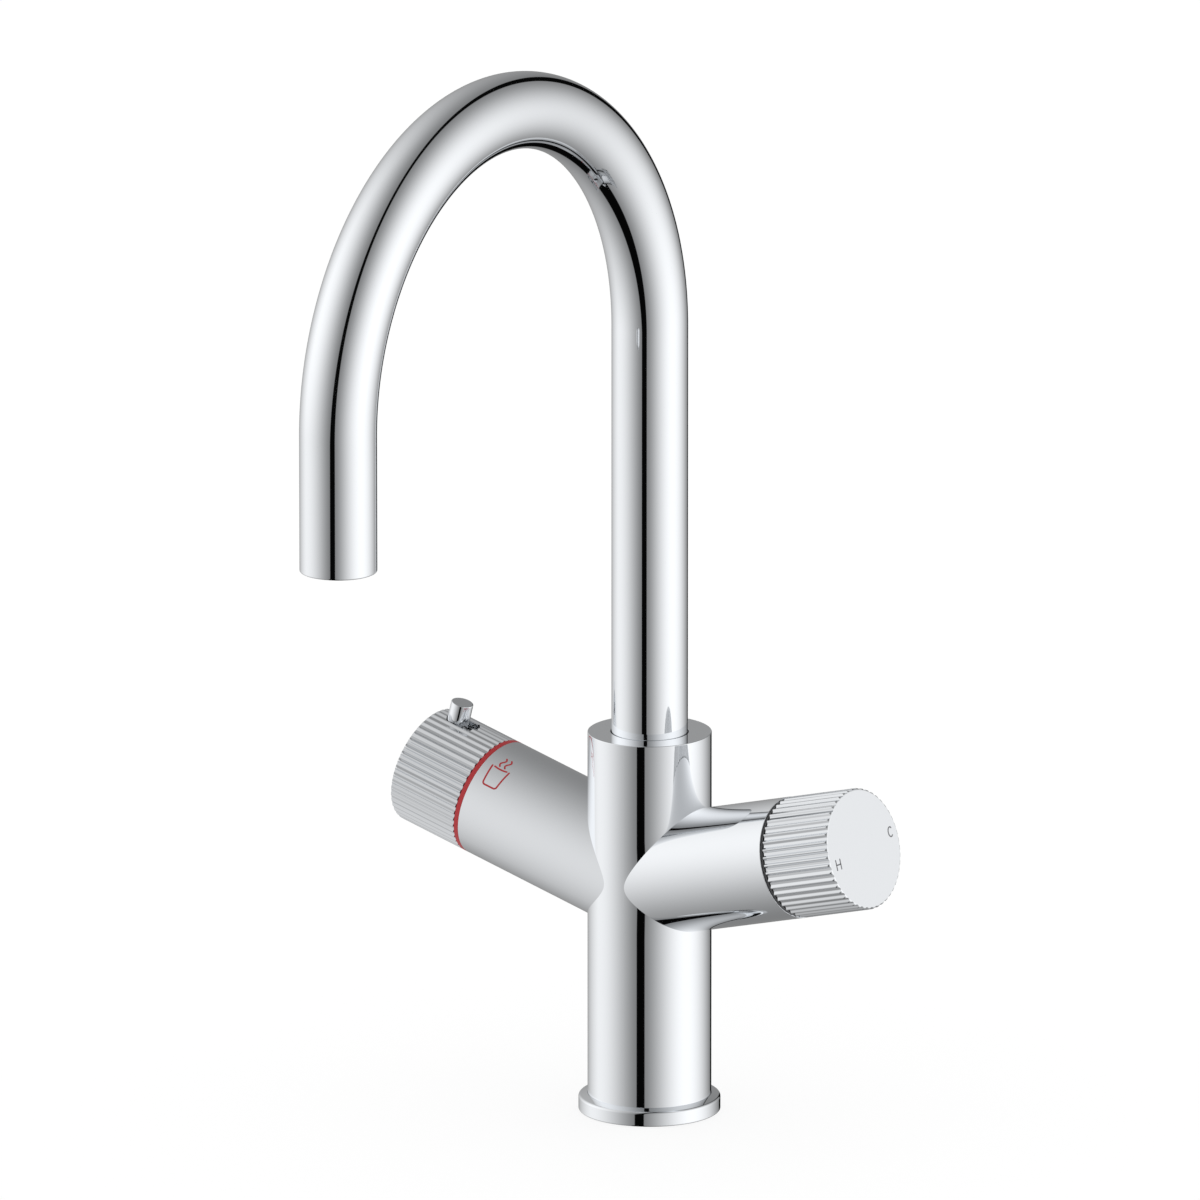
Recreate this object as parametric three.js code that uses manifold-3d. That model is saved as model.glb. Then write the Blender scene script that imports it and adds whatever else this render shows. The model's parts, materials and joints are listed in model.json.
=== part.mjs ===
// Boiling water tap: a round column with two inclined arms, a fluted knob on each arm and a swan-neck spout.
// Millimetres, +Z up. The origin is the centre of the foot's underside, on the worktop. The spout reaches
// towards -Y, the boiling-water arm points to -X and the mixer arm to +X.

import * as THREE from 'three';
import { mergeVertices } from 'three/addons/utils/BufferGeometryUtils.js';
import Module from 'manifold-3d';

const wasm = await Module();
wasm.setup();

// ---------------------------------------------------------------- driving dimensions

const gap = 0.3; // between pieces that touch or run on each other
const sides = { pipe: 20, column: 32, ring: 24, small: 16, hole: 8, oring: 6 }; // facets round a turned piece

// Foot
const ringRadius = 26.1;
const ringHeight = 5.8; // at the column; the top falls away outwards
const ringFall = 0.7;
const ringBevel = 0.75;
const ringFlange = 2; // the lip that the column stands on
const sealRadius = 24.2; // middle of the rubber ring under the foot
const sealWidth = 1.8;
const sealHeight = 1.6;
const footBore = 17.5;
const inletBlockHeight = 22;
const portOffset = 6.8; // of each socket from the middle, along X and along Y
const socketRadius = 4.8;
const socketDepth = 12;
const studHoleRadius = 3.4;
const studHoleDepth = 14;

// Column and arms
const columnRadius = 22.75;
const columnTop = 143.3;
const armAxisHeight = 88.2; // where both arm axes cross the column's axis
const armTilt = THREE.MathUtils.degToRad(15);
const armRadius = 22.3;
const boilingArmLength = 72.3; // from the column's axis
const mixerArmLength = 68.8;
const armBore = 17;
const wayRadius = 2.6; // drilled water ways to the valves
const outWayRadius = 3; // drilled water ways from the valves to the spout
const wayDrop = 3; // of the inlet ways below the arm's axis, where they reach the valve
const mixedWayOffset = 9.5; // of the mixed water's riser from the column's axis

// Ceramic valve, the same in both arms
const nutRecess = 2;
const nutHeight = 8;
const nutSlotWidth = 4;
const nutSlotDepth = 2.5;
const cartridgeTop = 4; // thickness of the housing's closed end
const cartridgeBore = 13;
const pocketHalfAngle = THREE.MathUtils.degToRad(45);
const neckRadius = 9.5;
const neckRecess = 0.5; // of the neck's end inside the arm's end
const driverHeight = 3.5;
const driverKey = { width: 4, inset: 3, height: 1.2 };
const discHeight = 4;
const discPocketDepth = 2;
const discPocketInner = 1; // the pocket's radii: the inner one, and the wall left outside it
const discPocketWall = 1.5;
const valveSealHeight = 2.4;
const stemRadius = 5;
const stemFlat = 4; // from the axis to each of the stem's two flats
const stemRoom = 1; // left past the stem's end in its knob

// Rings between the arms and the knobs
const edgeRingBore = 14.3;
const boilingRingThickness = 1.6;
const mixerRingThickness = 0.5;
const knobRunGap = 0.5; // between each ring and its knob
const mixerRingRadius = 21.7; // stands back from the arm's surface, as a shadow line

// Knobs
const knobRadius = 22.3; // over the crests of the flutes
const fluteCount = 48;
const fluteDepth = 0.9;
const fluteLand = 0.18; // of the pitch, on top of each ridge between two flutes
const fluteFloor = 0.42; // of the pitch, at the bottom of each flute
const boilingFluteTurn = 0.26; // of the first ridge from the top, in pitches
const mixerFluteTurn = 0.55;
const knobChamfer = 0.85; // takes the ridges off at the face
const knobFaceThickness = 3;
const knobBore = 19;
const boilingKnobLength = 29.6;
const mixerKnobLength = 29.5;
const bossRadius = 9;
const bossLength = 16;
const setScrewRadius = 2;
const setScrewLength = 4.4;

// Child lock in the boiling knob
const pinRadius = 4.15;
const pinReach = 28.9; // from the arm's axis to the pin's top
const pinBevel = 0.4;
const pinInset = 8.7; // from the knob's face to the pin's axis
const pinStudRadius = 2.5;
const lockTravel = 4.6;
const shoeThickness = 5.1;
const shoeHalfAngle = THREE.MathUtils.degToRad(25);
const tongueThickness = 3.6;
const tongueHalfAngle = THREE.MathUtils.degToRad(10);
const notchHalfAngle = THREE.MathUtils.degToRad(12);
const noseRoom = 1.3; // left past the tongue's nose when the pin is pushed home
const freeRoom = 1.2; // between the shoe and the collar when the pin is pushed home
const collarThickness = 2.5;
const collarSleeve = { inner: 12.5, outer: 14 };
const springWire = 0.35; // radius
const springCoil = 1.3; // radius
const springTurns = 5;
const springSeatThickness = 2;
const lugHalfAngle = THREE.MathUtils.degToRad(12);
const lugThickness = 3;
const boilingKnobSwing = THREE.MathUtils.degToRad(90); // from closed to fully open

// Spout
const pipeRadius = 14;
const pipeWall = 1.5;
const archRadius = 98.75;
const archHeight = 296.2; // of the arch's centre above the worktop
const outletHeight = 246.1;
const archSteps = { pipe: 20, inner: 12 };
const spoutTurn = THREE.MathUtils.degToRad(1.3); // the spout as it stands, a touch off square
const socketFloor = 104; // of the spout's socket in the column, above the worktop
const spigotLength = 20;
const spigotPlay = 0.1; // of the spigot inside the pipe's outline
const spigotBore = 10;
const spigotNeckLength = 8;
const glideRingHeight = 1.5;
const glideRingWidth = 1.3;
const oringSection = 0.8; // radius
const oringHeights = [3.5, 8.5]; // above the spigot's lower end
const grooveDepth = 1.9;
const stopGrooveHeight = 14.5; // middle, above the spigot's lower end
const stopGrooveWidth = 4;
const swivelHalf = THREE.MathUtils.degToRad(150);
const stopClearance = THREE.MathUtils.degToRad(3);
const spoutScrewRadius = 2;
const spoutScrewRecess = 1;
const dogRadius = 1.5;
const innerTubeRadius = 4.5;
const innerTubeBore = 2.8;
const innerTubeSides = 6;
const innerTubeDepth = 5; // into the column, below the socket's floor
const innerTubeRecess = 6;

// Outlet
const outletRecess = 1.2; // of the inserts inside the pipe's rim
const housingHeight = 11;
const housingWall = 1.7;
const housingLip = { height: 0.5, width: 0.9 };
const straightenerHeight = 6;
const straightenerHoles = 12;
const straightenerHoleRadius = 1.2;
const nozzleRadius = 4.2;
const nozzleDrop = 0.6; // of the boiling nozzle's tip below the housing's lip

// ---------------------------------------------------------------- shape operations

// One closed body with merged corners and its faces turned outwards.
function closedBody(geometry) {
  geometry.deleteAttribute('normal');
  geometry.deleteAttribute('uv');
  const merged = mergeVertices(geometry);
  const position = merged.attributes.position;
  const corners = [];
  const [a, b, c] = [new THREE.Vector3(), new THREE.Vector3(), new THREE.Vector3()];
  let volume = 0;
  for (let i = 0; i < merged.index.count; i += 3) {
    const [i0, i1, i2] = [0, 1, 2].map((k) => merged.index.getX(i + k));
    if (i0 === i1 || i1 === i2 || i2 === i0) continue;
    corners.push(i0, i1, i2);
    a.fromBufferAttribute(position, i0);
    b.fromBufferAttribute(position, i1);
    c.fromBufferAttribute(position, i2);
    volume += a.dot(b.cross(c));
  }
  if (volume < 0) corners.reverse();
  merged.setIndex(corners);
  return merged;
}

function solidOf(geometry) {
  const closed = closedBody(geometry);
  return new wasm.Manifold(new wasm.Mesh({
    numProp: 3,
    vertProperties: new Float32Array(closed.attributes.position.array),
    triVerts: new Uint32Array(closed.index.array),
  }));
}

function geometryOf(solid) {
  const mesh = solid.getMesh();
  const geometry = new THREE.BufferGeometry();
  geometry.setAttribute('position', new THREE.BufferAttribute(new Float32Array(mesh.vertProperties), 3));
  geometry.setIndex(new THREE.BufferAttribute(new Uint32Array(mesh.triVerts), 1));
  return geometry;
}

// The first geometry joined with the ones in add, then cut by the ones in remove.
function combine(base, { add = [], remove = [] }) {
  const joined = add.reduce((solid, other) => solid.add(solidOf(other)), solidOf(base));
  return geometryOf(remove.reduce((solid, other) => solid.subtract(solidOf(other)), joined));
}

// A turned piece round Z, from [radius, height] points that end on the axis or close on themselves.
function turned(profile, facets) {
  const points = profile.map(([radius, height]) => new THREE.Vector2(radius, height));
  const onAxis = profile[0][0] === 0 && profile.at(-1)[0] === 0;
  if (!onAxis) points.push(points[0].clone());
  return closedBody(new THREE.LatheGeometry(points, facets).rotateX(Math.PI / 2));
}

const rod = (radius, from, to, facets) => turned([[0, from], [radius, from], [radius, to], [0, to]], facets);

const tube = (inner, outer, from, to, facets) =>
  turned([[inner, from], [outer, from], [outer, to], [inner, to]], facets);

// A rod that lies along X, for holes and screws square to an arm's axis.
const crossRod = (radius, from, to, height, facets) =>
  rod(radius, from, to, facets).rotateY(Math.PI / 2).translate(0, 0, height);

const extruded = (shape, from, to, curveSegments = 4) =>
  closedBody(new THREE.ExtrudeGeometry(shape, { depth: to - from, bevelEnabled: false, curveSegments })
    .translate(0, 0, from));

// A slice of a ring, from one radius to another, round the direction middle.
function ringSector(inner, outer, halfAngle, from, to, middle = 0, curveSegments = 3) {
  const shape = new THREE.Shape();
  shape.absarc(0, 0, outer, middle - halfAngle, middle + halfAngle, false);
  shape.absarc(0, 0, inner, middle + halfAngle, middle - halfAngle, true);
  shape.closePath();
  return extruded(shape, from, to, curveSegments);
}

const circle = (x, y, radius, facets) => Array.from({ length: facets }, (_, i) => new THREE.Vector2(
  x + radius * Math.cos(2 * Math.PI * i / facets), y + radius * Math.sin(2 * Math.PI * i / facets)));

// A round plate with round holes, each hole as [x, y, radius].
function drilledPlate(radius, holes, from, to) {
  const shape = new THREE.Shape(circle(0, 0, radius, sides.small));
  shape.holes = holes.map(([x, y, holeRadius]) => new THREE.Path(circle(x, y, holeRadius, sides.hole)));
  return extruded(shape, from, to);
}

// The outline of a rod with two flats, each the same distance from the axis and square to X.
function flattedOutline(radius, flat) {
  const corner = Math.acos(flat / radius);
  const shape = new THREE.Shape();
  shape.absarc(0, 0, radius, corner, Math.PI - corner, false);
  shape.absarc(0, 0, radius, Math.PI + corner, 2 * Math.PI - corner, false);
  shape.closePath();
  return shape;
}

// Joins rings of points, all with the same count, and closes both ends to their middles.
function loft(rings) {
  const count = rings[0].length;
  const points = rings.flat();
  const corners = [];
  for (let ring = 0; ring + 1 < rings.length; ring++) {
    for (let i = 0; i < count; i++) {
      const [near, far] = [ring * count + i, ring * count + (i + 1) % count];
      corners.push(near, far, far + count, near, far + count, near + count);
    }
  }
  for (const [end, ring] of [[0, rings[0]], [rings.length - 1, rings.at(-1)]]) {
    const middle = points.length;
    points.push(new THREE.Vector3(0, 0, ring[0].z));
    for (let i = 0; i < count; i++) {
      const [near, far] = [end * count + i, end * count + (i + 1) % count];
      corners.push(middle, ...(end === 0 ? [far, near] : [near, far]));
    }
  }
  const geometry = new THREE.BufferGeometry().setFromPoints(points);
  geometry.setIndex(corners);
  return closedBody(geometry);
}

// ---------------------------------------------------------------- materials and placing

const material = (color, metalness, roughness) =>
  new THREE.MeshStandardMaterial({ color, metalness, roughness });
const chrome = material(0xd9dcdf, 1, 0.06);
const brass = material(0xb99a55, 1, 0.35);
const steel = material(0xa9acb0, 1, 0.3);
const rubber = material(0x1c1c1e, 0, 0.8);
const redPlastic = material(0xbe2a30, 0, 0.35);
const darkPlastic = material(0x26272a, 0, 0.4);
const greyPlastic = material(0x8c9094, 0, 0.5);
const ceramic = material(0xe6e2d8, 0, 0.25);
const clearTube = material(0xd8d6cc, 0, 0.5);

function place(group, name, geometry, finish) {
  const mesh = new THREE.Mesh(geometry, finish);
  mesh.name = name;
  group.add(mesh);
}

// A frame on an arm's axis: Z runs outwards along the arm, X points up, square to it.
function armFrame(side) {
  const outwards = new THREE.Vector3(side * Math.cos(armTilt), 0, Math.sin(armTilt));
  const up = new THREE.Vector3(-side * Math.sin(armTilt), 0, Math.cos(armTilt));
  const across = new THREE.Vector3().crossVectors(outwards, up);
  const frame = new THREE.Group();
  frame.setRotationFromMatrix(new THREE.Matrix4().makeBasis(up, across, outwards));
  frame.position.z = armAxisHeight;
  frame.updateMatrix();
  return frame;
}

const tap = new THREE.Group();
const boilingArm = armFrame(-1);
const mixerArm = armFrame(1);
const spout = new THREE.Group();
spout.rotation.z = spoutTurn;
tap.add(boilingArm, mixerArm, spout);

// Sockets as [x, y] in the foot, and how far across each arm, in its own frame, the water ways from them run.
const ports = {
  boiling: [-portOffset, -portOffset],
  hot: [portOffset, -portOffset],
  cold: [portOffset, portOffset],
  stud: [-portOffset, portOffset],
};
const boilingFeeds = [-portOffset];
const mixerFeeds = [-portOffset, portOffset];

// ---------------------------------------------------------------- foot

const columnFoot = ringFlange + gap;

function baseRing() {
  const bore = columnRadius + gap;
  const shoulder = ringHeight - ringFall;
  const profile = [
    [footBore, 0], [ringRadius - ringBevel, 0], [ringRadius, ringBevel], [ringRadius, shoulder - ringBevel],
    [ringRadius - ringBevel, shoulder], [bore, ringHeight], [bore, ringFlange], [footBore, ringFlange],
  ];
  const half = sealWidth / 2 + gap;
  const groove = tube(sealRadius - half, sealRadius + half, -1, sealHeight + gap, sides.ring);
  return combine(turned(profile, sides.ring), { remove: [groove] });
}

function inletBlock() {
  const holes = ['boiling', 'hot', 'cold'].flatMap((name) => [
    rod(socketRadius, -1, socketDepth, sides.hole).translate(...ports[name], 0),
    rod(wayRadius, socketDepth - 1, inletBlockHeight + 1, sides.hole).translate(...ports[name], 0),
  ]);
  holes.push(rod(studHoleRadius, -1, studHoleDepth, sides.hole).translate(...ports.stud, 0));
  return combine(rod(footBore - gap, 0, inletBlockHeight, sides.ring), { remove: holes });
}

place(tap, 'base_ring', baseRing(), chrome);
place(tap, 'base_seal',
  tube(sealRadius - sealWidth / 2, sealRadius + sealWidth / 2, 0, sealHeight, sides.ring), rubber);
place(tap, 'inlet_block', inletBlock(), brass);

// ---------------------------------------------------------------- valve heights, inwards from the arm's end

const valve = {};
valve.nutTop = nutRecess;
valve.housingTop = valve.nutTop + nutHeight + gap;
valve.driverTop = valve.housingTop + cartridgeTop + gap;
valve.movingDiscTop = valve.driverTop + driverHeight + gap;
valve.fixedDiscTop = valve.movingDiscTop + discHeight + gap;
valve.housingEnd = valve.fixedDiscTop + discHeight;
valve.sealTop = valve.housingEnd + gap;
valve.floor = valve.sealTop + valveSealHeight + gap;

// ---------------------------------------------------------------- column with both arms

function tapBody() {
  const column = rod(columnRadius, columnFoot, columnTop, sides.column);
  const socketRoof = columnTop + 1;
  const feedHeight = armAxisHeight + (portOffset * Math.sin(armTilt) - wayDrop) / Math.cos(armTilt);
  const riser = ([x, y]) =>
    rod(wayRadius, inletBlockHeight, feedHeight + wayRadius, sides.hole).translate(x, y, 0);

  // Each arm in its own frame: the arm itself, its valve chamber, and the ways drilled to its floor.
  const arm = (frame, length, feeds, outStart) => {
    const floor = length - valve.floor;
    const feedStart = portOffset * Math.cos(armTilt) + (feedHeight - armAxisHeight) * Math.sin(armTilt);
    const ways = feeds.map((y) =>
      rod(wayRadius, feedStart - wayRadius, floor + 1, sides.hole).translate(-wayDrop, y, 0));
    ways.push(rod(outWayRadius, outStart, floor + 1, sides.hole));
    return {
      outside: rod(armRadius, 0, length, sides.column).applyMatrix4(frame.matrix),
      inside: [rod(armBore, floor, length + 1, sides.ring), ...ways]
        .map((geometry) => geometry.applyMatrix4(frame.matrix)),
    };
  };
  const boiling = arm(boilingArm, boilingArmLength, boilingFeeds, 0);
  const mixer = arm(mixerArm, mixerArmLength, mixerFeeds, mixedWayOffset / Math.cos(armTilt));
  const mixedStart = armAxisHeight + mixedWayOffset * Math.tan(armTilt);

  return combine(column, {
    add: [boiling.outside, mixer.outside],
    remove: [
      rod(footBore, 0, inletBlockHeight + gap, sides.ring),
      rod(pipeRadius + gap, socketFloor, socketRoof, sides.column),
      rod(innerTubeRadius + gap, socketFloor - innerTubeRecess, socketRoof, sides.small),
      rod(outWayRadius, armAxisHeight, socketFloor, sides.hole),
      rod(outWayRadius, mixedStart, socketFloor + 1, sides.hole).translate(mixedWayOffset, 0, 0),
      crossRod(spoutScrewRadius + gap, pipeRadius, columnRadius + 1, spoutScrewHeight, sides.hole)
        .rotateZ(Math.PI / 2),
      riser(ports.boiling), riser(ports.hot), riser(ports.cold),
      ...boiling.inside, ...mixer.inside,
    ],
  });
}

// ---------------------------------------------------------------- spout heights

const spigotFoot = socketFloor + gap + glideRingHeight + gap;
const spigotTop = spigotFoot + spigotLength;
const pipeFoot = spigotTop + gap;
const spoutScrewHeight = spigotFoot + stopGrooveHeight;
const spigotRadius = pipeRadius - spigotPlay;

place(tap, 'tap_body', tapBody(), chrome);

// ---------------------------------------------------------------- valves

const nutBore = neckRadius + gap;
const cartridgeRadius = armBore - gap;
const discRadius = cartridgeBore - gap;

// Solids of one valve. Its moving disc is drawn closed, with its pocket round the direction pocketMiddle.
function valvePieces(armLength, stemEnd, feeds, pocketMiddle) {
  const at = (depth) => armLength - depth;
  const feedHoles = feeds.map((y) => [-wayDrop, y, wayRadius]);
  const portsInPlate = [...feedHoles, [0, 0, outWayRadius]];

  const nutEnd = at(valve.nutTop + nutHeight);
  const slot = new THREE.BoxGeometry(2 * armBore, nutSlotWidth, 2 * nutSlotDepth)
    .translate(0, 0, at(valve.nutTop));
  const nut = combine(tube(nutBore, cartridgeRadius, nutEnd, at(valve.nutTop), sides.ring),
    { remove: [slot] });

  const roof = at(valve.housingTop + cartridgeTop);
  const housing = turned([
    [cartridgeBore, at(valve.housingEnd)], [cartridgeRadius, at(valve.housingEnd)],
    [cartridgeRadius, at(valve.housingTop)], [neckRadius, at(valve.housingTop)],
    [neckRadius, at(neckRecess)], [stemRadius + gap, at(neckRecess)], [stemRadius + gap, roof],
    [cartridgeBore, roof],
  ], sides.ring);

  const driverEnd = at(valve.driverTop + driverHeight);
  const keyPlace = discRadius - driverKey.inset;
  const key = (grow, height) => [-1, 1].map((side) =>
    new THREE.BoxGeometry(driverKey.width + grow, driverKey.width + grow, 2 * height)
      .translate(0, side * keyPlace, driverEnd));
  const flatStart = stemEnd - bossLength;
  const spindle = combine(turned([
    [0, driverEnd], [discRadius, driverEnd], [discRadius, at(valve.driverTop)],
    [stemRadius, at(valve.driverTop)], [stemRadius, flatStart], [0, flatStart],
  ], sides.small), {
    add: [extruded(flattedOutline(stemRadius, stemFlat), flatStart - 1, stemEnd),
      ...key(0, driverKey.height)],
  });

  const movingTop = at(valve.movingDiscTop);
  const movingFoot = movingTop - discHeight;
  const pocket = ringSector(discPocketInner, discRadius - discPocketWall, pocketHalfAngle, movingFoot - 1,
    movingFoot + discPocketDepth, pocketMiddle);
  const movingDisc = combine(rod(discRadius, movingFoot, movingTop, sides.small),
    { remove: [pocket, ...key(2 * gap, driverKey.height + 2 * gap)] });

  const fixedTop = at(valve.fixedDiscTop);
  const fixedDisc = drilledPlate(discRadius, portsInPlate, fixedTop - discHeight, fixedTop);
  const sealTop = at(valve.sealTop);
  const seal = drilledPlate(cartridgeRadius - gap, portsInPlate, sealTop - valveSealHeight, sealTop);
  return { nut, housing, spindle, movingDisc, fixedDisc, seal };
}

const edgeRing = (radius, armLength, thickness) =>
  tube(edgeRingBore, radius, armLength + gap, armLength + gap + thickness, sides.column);

// ---------------------------------------------------------------- knobs

// The four corners of each pitch as [place, radius]: both edges of a ridge's top and of a flute's floor.
const floorRadius = knobRadius - fluteDepth;
const fluteCorners = [
  [-fluteLand / 2, knobRadius], [fluteLand / 2, knobRadius],
  [0.5 - fluteFloor / 2, floorRadius], [0.5 + fluteFloor / 2, floorRadius],
];

// A fluted cup, open towards the arm, with a boss for the stem and a hole for the set screw underneath.
function knobShell(start, length, fluteTurn, stemEnd) {
  const face = start + length;
  const faceRadius = knobRadius - knobChamfer;
  const ring = (radiusAt, heightAt) => Array.from({ length: fluteCount }, (_, flute) =>
    fluteCorners.map(([place, radius]) => {
      const angle = 2 * Math.PI * (flute + fluteTurn + place) / fluteCount;
      const shown = radiusAt(radius);
      return new THREE.Vector3(shown * Math.cos(angle), shown * Math.sin(angle), heightAt(radius));
    })).flat();
  const outside = loft([
    ring((radius) => radius, () => start),
    ring((radius) => radius, (radius) => face - Math.max(radius - faceRadius, 0)),
    ring((radius) => Math.min(radius, faceRadius), () => face),
  ]);
  const cavityEnd = face - knobFaceThickness;
  const bossStart = cavityEnd - bossLength;
  const cavity = rod(knobBore, start - 1, cavityEnd, sides.ring);
  const boss = rod(bossRadius, bossStart, cavityEnd + 1, sides.small);
  const stemHole = extruded(flattedOutline(stemRadius + gap, stemFlat + gap), bossStart - 1, stemEnd + gap);
  const screwPlace = bossStart + bossLength / 2;
  const screwHole = crossRod(setScrewRadius + gap, -knobRadius - 1, 0, screwPlace, sides.hole);
  return { outside, cavity, boss, stemHole, screwHole, bossStart, cavityEnd };
}

const knobScrew = (height) => {
  const tip = stemFlat + gap;
  return crossRod(setScrewRadius, -tip - setScrewLength, -tip, height, sides.hole);
};

// ---------------------------------------------------------------- boiling side

const boilingKnobStart = boilingArmLength + gap + boilingRingThickness + knobRunGap;
const boilingKnobFace = boilingKnobStart + boilingKnobLength;
const boilingStemEnd = boilingKnobFace - knobFaceThickness - stemRoom;
const pinPlace = boilingKnobFace - pinInset;
const slotHalf = pinRadius + gap;
const shoeOuter = knobBore - 2 * gap;
const shoeInner = shoeOuter - shoeThickness;
const nose = boilingKnobStart + noseRoom + lockTravel;
const shoeStart = nose + lockTravel + freeRoom;

function boilingKnob() {
  const shell = knobShell(boilingKnobStart, boilingKnobLength, boilingFluteTurn, boilingStemEnd);
  const slot = new THREE.Shape();
  slot.absarc(lockTravel, 0, slotHalf, -Math.PI / 2, Math.PI / 2, false);
  slot.absarc(0, 0, slotHalf, Math.PI / 2, 3 * Math.PI / 2, false);
  slot.closePath();
  const slotCut = extruded(slot, bossRadius + 1, knobRadius + 1)
    .rotateY(Math.PI / 2).translate(0, 0, pinPlace);
  const seatEnd = shell.bossStart + springSeatThickness;
  const springSeat = rod(shoeInner - gap, shell.bossStart, seatEnd, sides.small);
  const hollowed = combine(shell.outside, { remove: [shell.cavity, slotCut] });
  return combine(hollowed, { add: [shell.boss, springSeat], remove: [shell.stemHole, shell.screwHole] });
}

function lockPin() {
  const head = shoeOuter + gap;
  const stud = shoeOuter - shoeThickness + gap;
  return turned([
    [0, stud], [pinStudRadius, stud], [pinStudRadius, head], [pinRadius, head],
    [pinRadius, pinReach - pinBevel], [pinRadius - pinBevel, pinReach], [0, pinReach],
  ], sides.small).rotateY(Math.PI / 2).translate(0, 0, pinPlace);
}

const cavityEnd = boilingKnobFace - knobFaceThickness;
const lugStart = cavityEnd - gap - lugThickness;

function lockSlider() {
  const shoe = ringSector(shoeInner, shoeOuter, shoeHalfAngle, shoeStart, cavityEnd - gap);
  const tongue = ringSector(shoeOuter - tongueThickness, shoeOuter, tongueHalfAngle, nose, shoeStart + 1);
  const lug = ringSector(bossRadius + gap, shoeInner + 1, lugHalfAngle, lugStart, cavityEnd - gap);
  const studHole = crossRod(pinStudRadius + gap, shoeInner - 1, shoeOuter + 1, pinPlace, sides.small);
  return combine(shoe, { add: [tongue, lug], remove: [studHole] });
}

// A helix between the boss's seat and the slider's lug.
class Helix extends THREE.Curve {
  constructor(radius, from, to, turns) {
    super();
    Object.assign(this, { radius, from, to, turns });
  }
  getPoint(t, target = new THREE.Vector3()) {
    const angle = 2 * Math.PI * this.turns * t;
    const height = THREE.MathUtils.lerp(this.from, this.to, t);
    return target.set(this.radius * Math.cos(angle), this.radius * Math.sin(angle), height);
  }
}

function lockSpring() {
  const seat = cavityEnd - bossLength + springSeatThickness;
  const helix = new Helix(springCoil, seat + gap + springWire, lugStart - gap - springWire, springTurns);
  const wire = new THREE.Shape().absarc(0, 0, springWire, 0, 2 * Math.PI, false);
  const coil = new THREE.ExtrudeGeometry(wire, {
    steps: 8 * springTurns, extrudePath: helix, curveSegments: 2,
  });
  return closedBody(coil).translate((bossRadius + shoeInner) / 2, 0, 0);
}

// Ring on the arm's end with a notch for the tongue where the knob is closed and where it is fully open.
function lockCollar() {
  const top = nose - gap;
  const { inner, outer } = collarSleeve;
  const flange = top - collarThickness;
  const foot = boilingArmLength - nutRecess + gap;
  const collar = turned([
    [inner, foot], [outer, foot], [outer, flange], [shoeOuter, flange], [shoeOuter, top], [inner, top],
  ], sides.ring);
  const notchFloor = shoeOuter - tongueThickness - gap;
  const notches = [0, boilingKnobSwing].map((angle) =>
    ringSector(notchFloor, shoeOuter + 1, notchHalfAngle, flange - 1, top + 1, -angle));
  return combine(collar, { remove: notches });
}

const boilingPocket = boilingKnobSwing + Math.atan2(boilingFeeds[0], -wayDrop);
const boilingValve = valvePieces(boilingArmLength, boilingStemEnd, boilingFeeds, boilingPocket);
place(boilingArm, 'boiling_cartridge', boilingValve.housing, brass);
place(boilingArm, 'boiling_gland_nut', boilingValve.nut, brass);
place(boilingArm, 'boiling_fixed_disc', boilingValve.fixedDisc, ceramic);
place(boilingArm, 'boiling_seal', boilingValve.seal, rubber);
place(boilingArm, 'boiling_ring', edgeRing(armRadius, boilingArmLength, boilingRingThickness), redPlastic);
place(boilingArm, 'lock_collar', lockCollar(), brass);
place(boilingArm, 'boiling_knob', boilingKnob(), chrome);
place(boilingArm, 'boiling_spindle', boilingValve.spindle, brass);
place(boilingArm, 'boiling_moving_disc', boilingValve.movingDisc, ceramic);
place(boilingArm, 'boiling_knob_screw', knobScrew(cavityEnd - bossLength / 2), steel);
place(boilingArm, 'lock_pin', lockPin(), chrome);
place(boilingArm, 'lock_slider', lockSlider(), steel);
place(boilingArm, 'lock_spring', lockSpring(), steel);

// ---------------------------------------------------------------- mixer side

const mixerKnobStart = mixerArmLength + gap + mixerRingThickness + knobRunGap;
const mixerStemEnd = mixerKnobStart + mixerKnobLength - knobFaceThickness - stemRoom;
const mixerShell = knobShell(mixerKnobStart, mixerKnobLength, mixerFluteTurn, mixerStemEnd);
const mixerKnob = combine(combine(mixerShell.outside, { remove: [mixerShell.cavity] }),
  { add: [mixerShell.boss], remove: [mixerShell.stemHole, mixerShell.screwHole] });

const mixerValve = valvePieces(mixerArmLength, mixerStemEnd, mixerFeeds, Math.PI);
place(mixerArm, 'mixer_cartridge', mixerValve.housing, brass);
place(mixerArm, 'mixer_gland_nut', mixerValve.nut, brass);
place(mixerArm, 'mixer_fixed_disc', mixerValve.fixedDisc, ceramic);
place(mixerArm, 'mixer_seal', mixerValve.seal, rubber);
place(mixerArm, 'mixer_ring', edgeRing(mixerRingRadius, mixerArmLength, mixerRingThickness), darkPlastic);
place(mixerArm, 'mixer_knob', mixerKnob, chrome);
place(mixerArm, 'mixer_spindle', mixerValve.spindle, brass);
place(mixerArm, 'mixer_moving_disc', mixerValve.movingDisc, ceramic);
place(mixerArm, 'mixer_knob_screw', knobScrew(mixerShell.bossStart + bossLength / 2), steel);

// ---------------------------------------------------------------- spout

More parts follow.
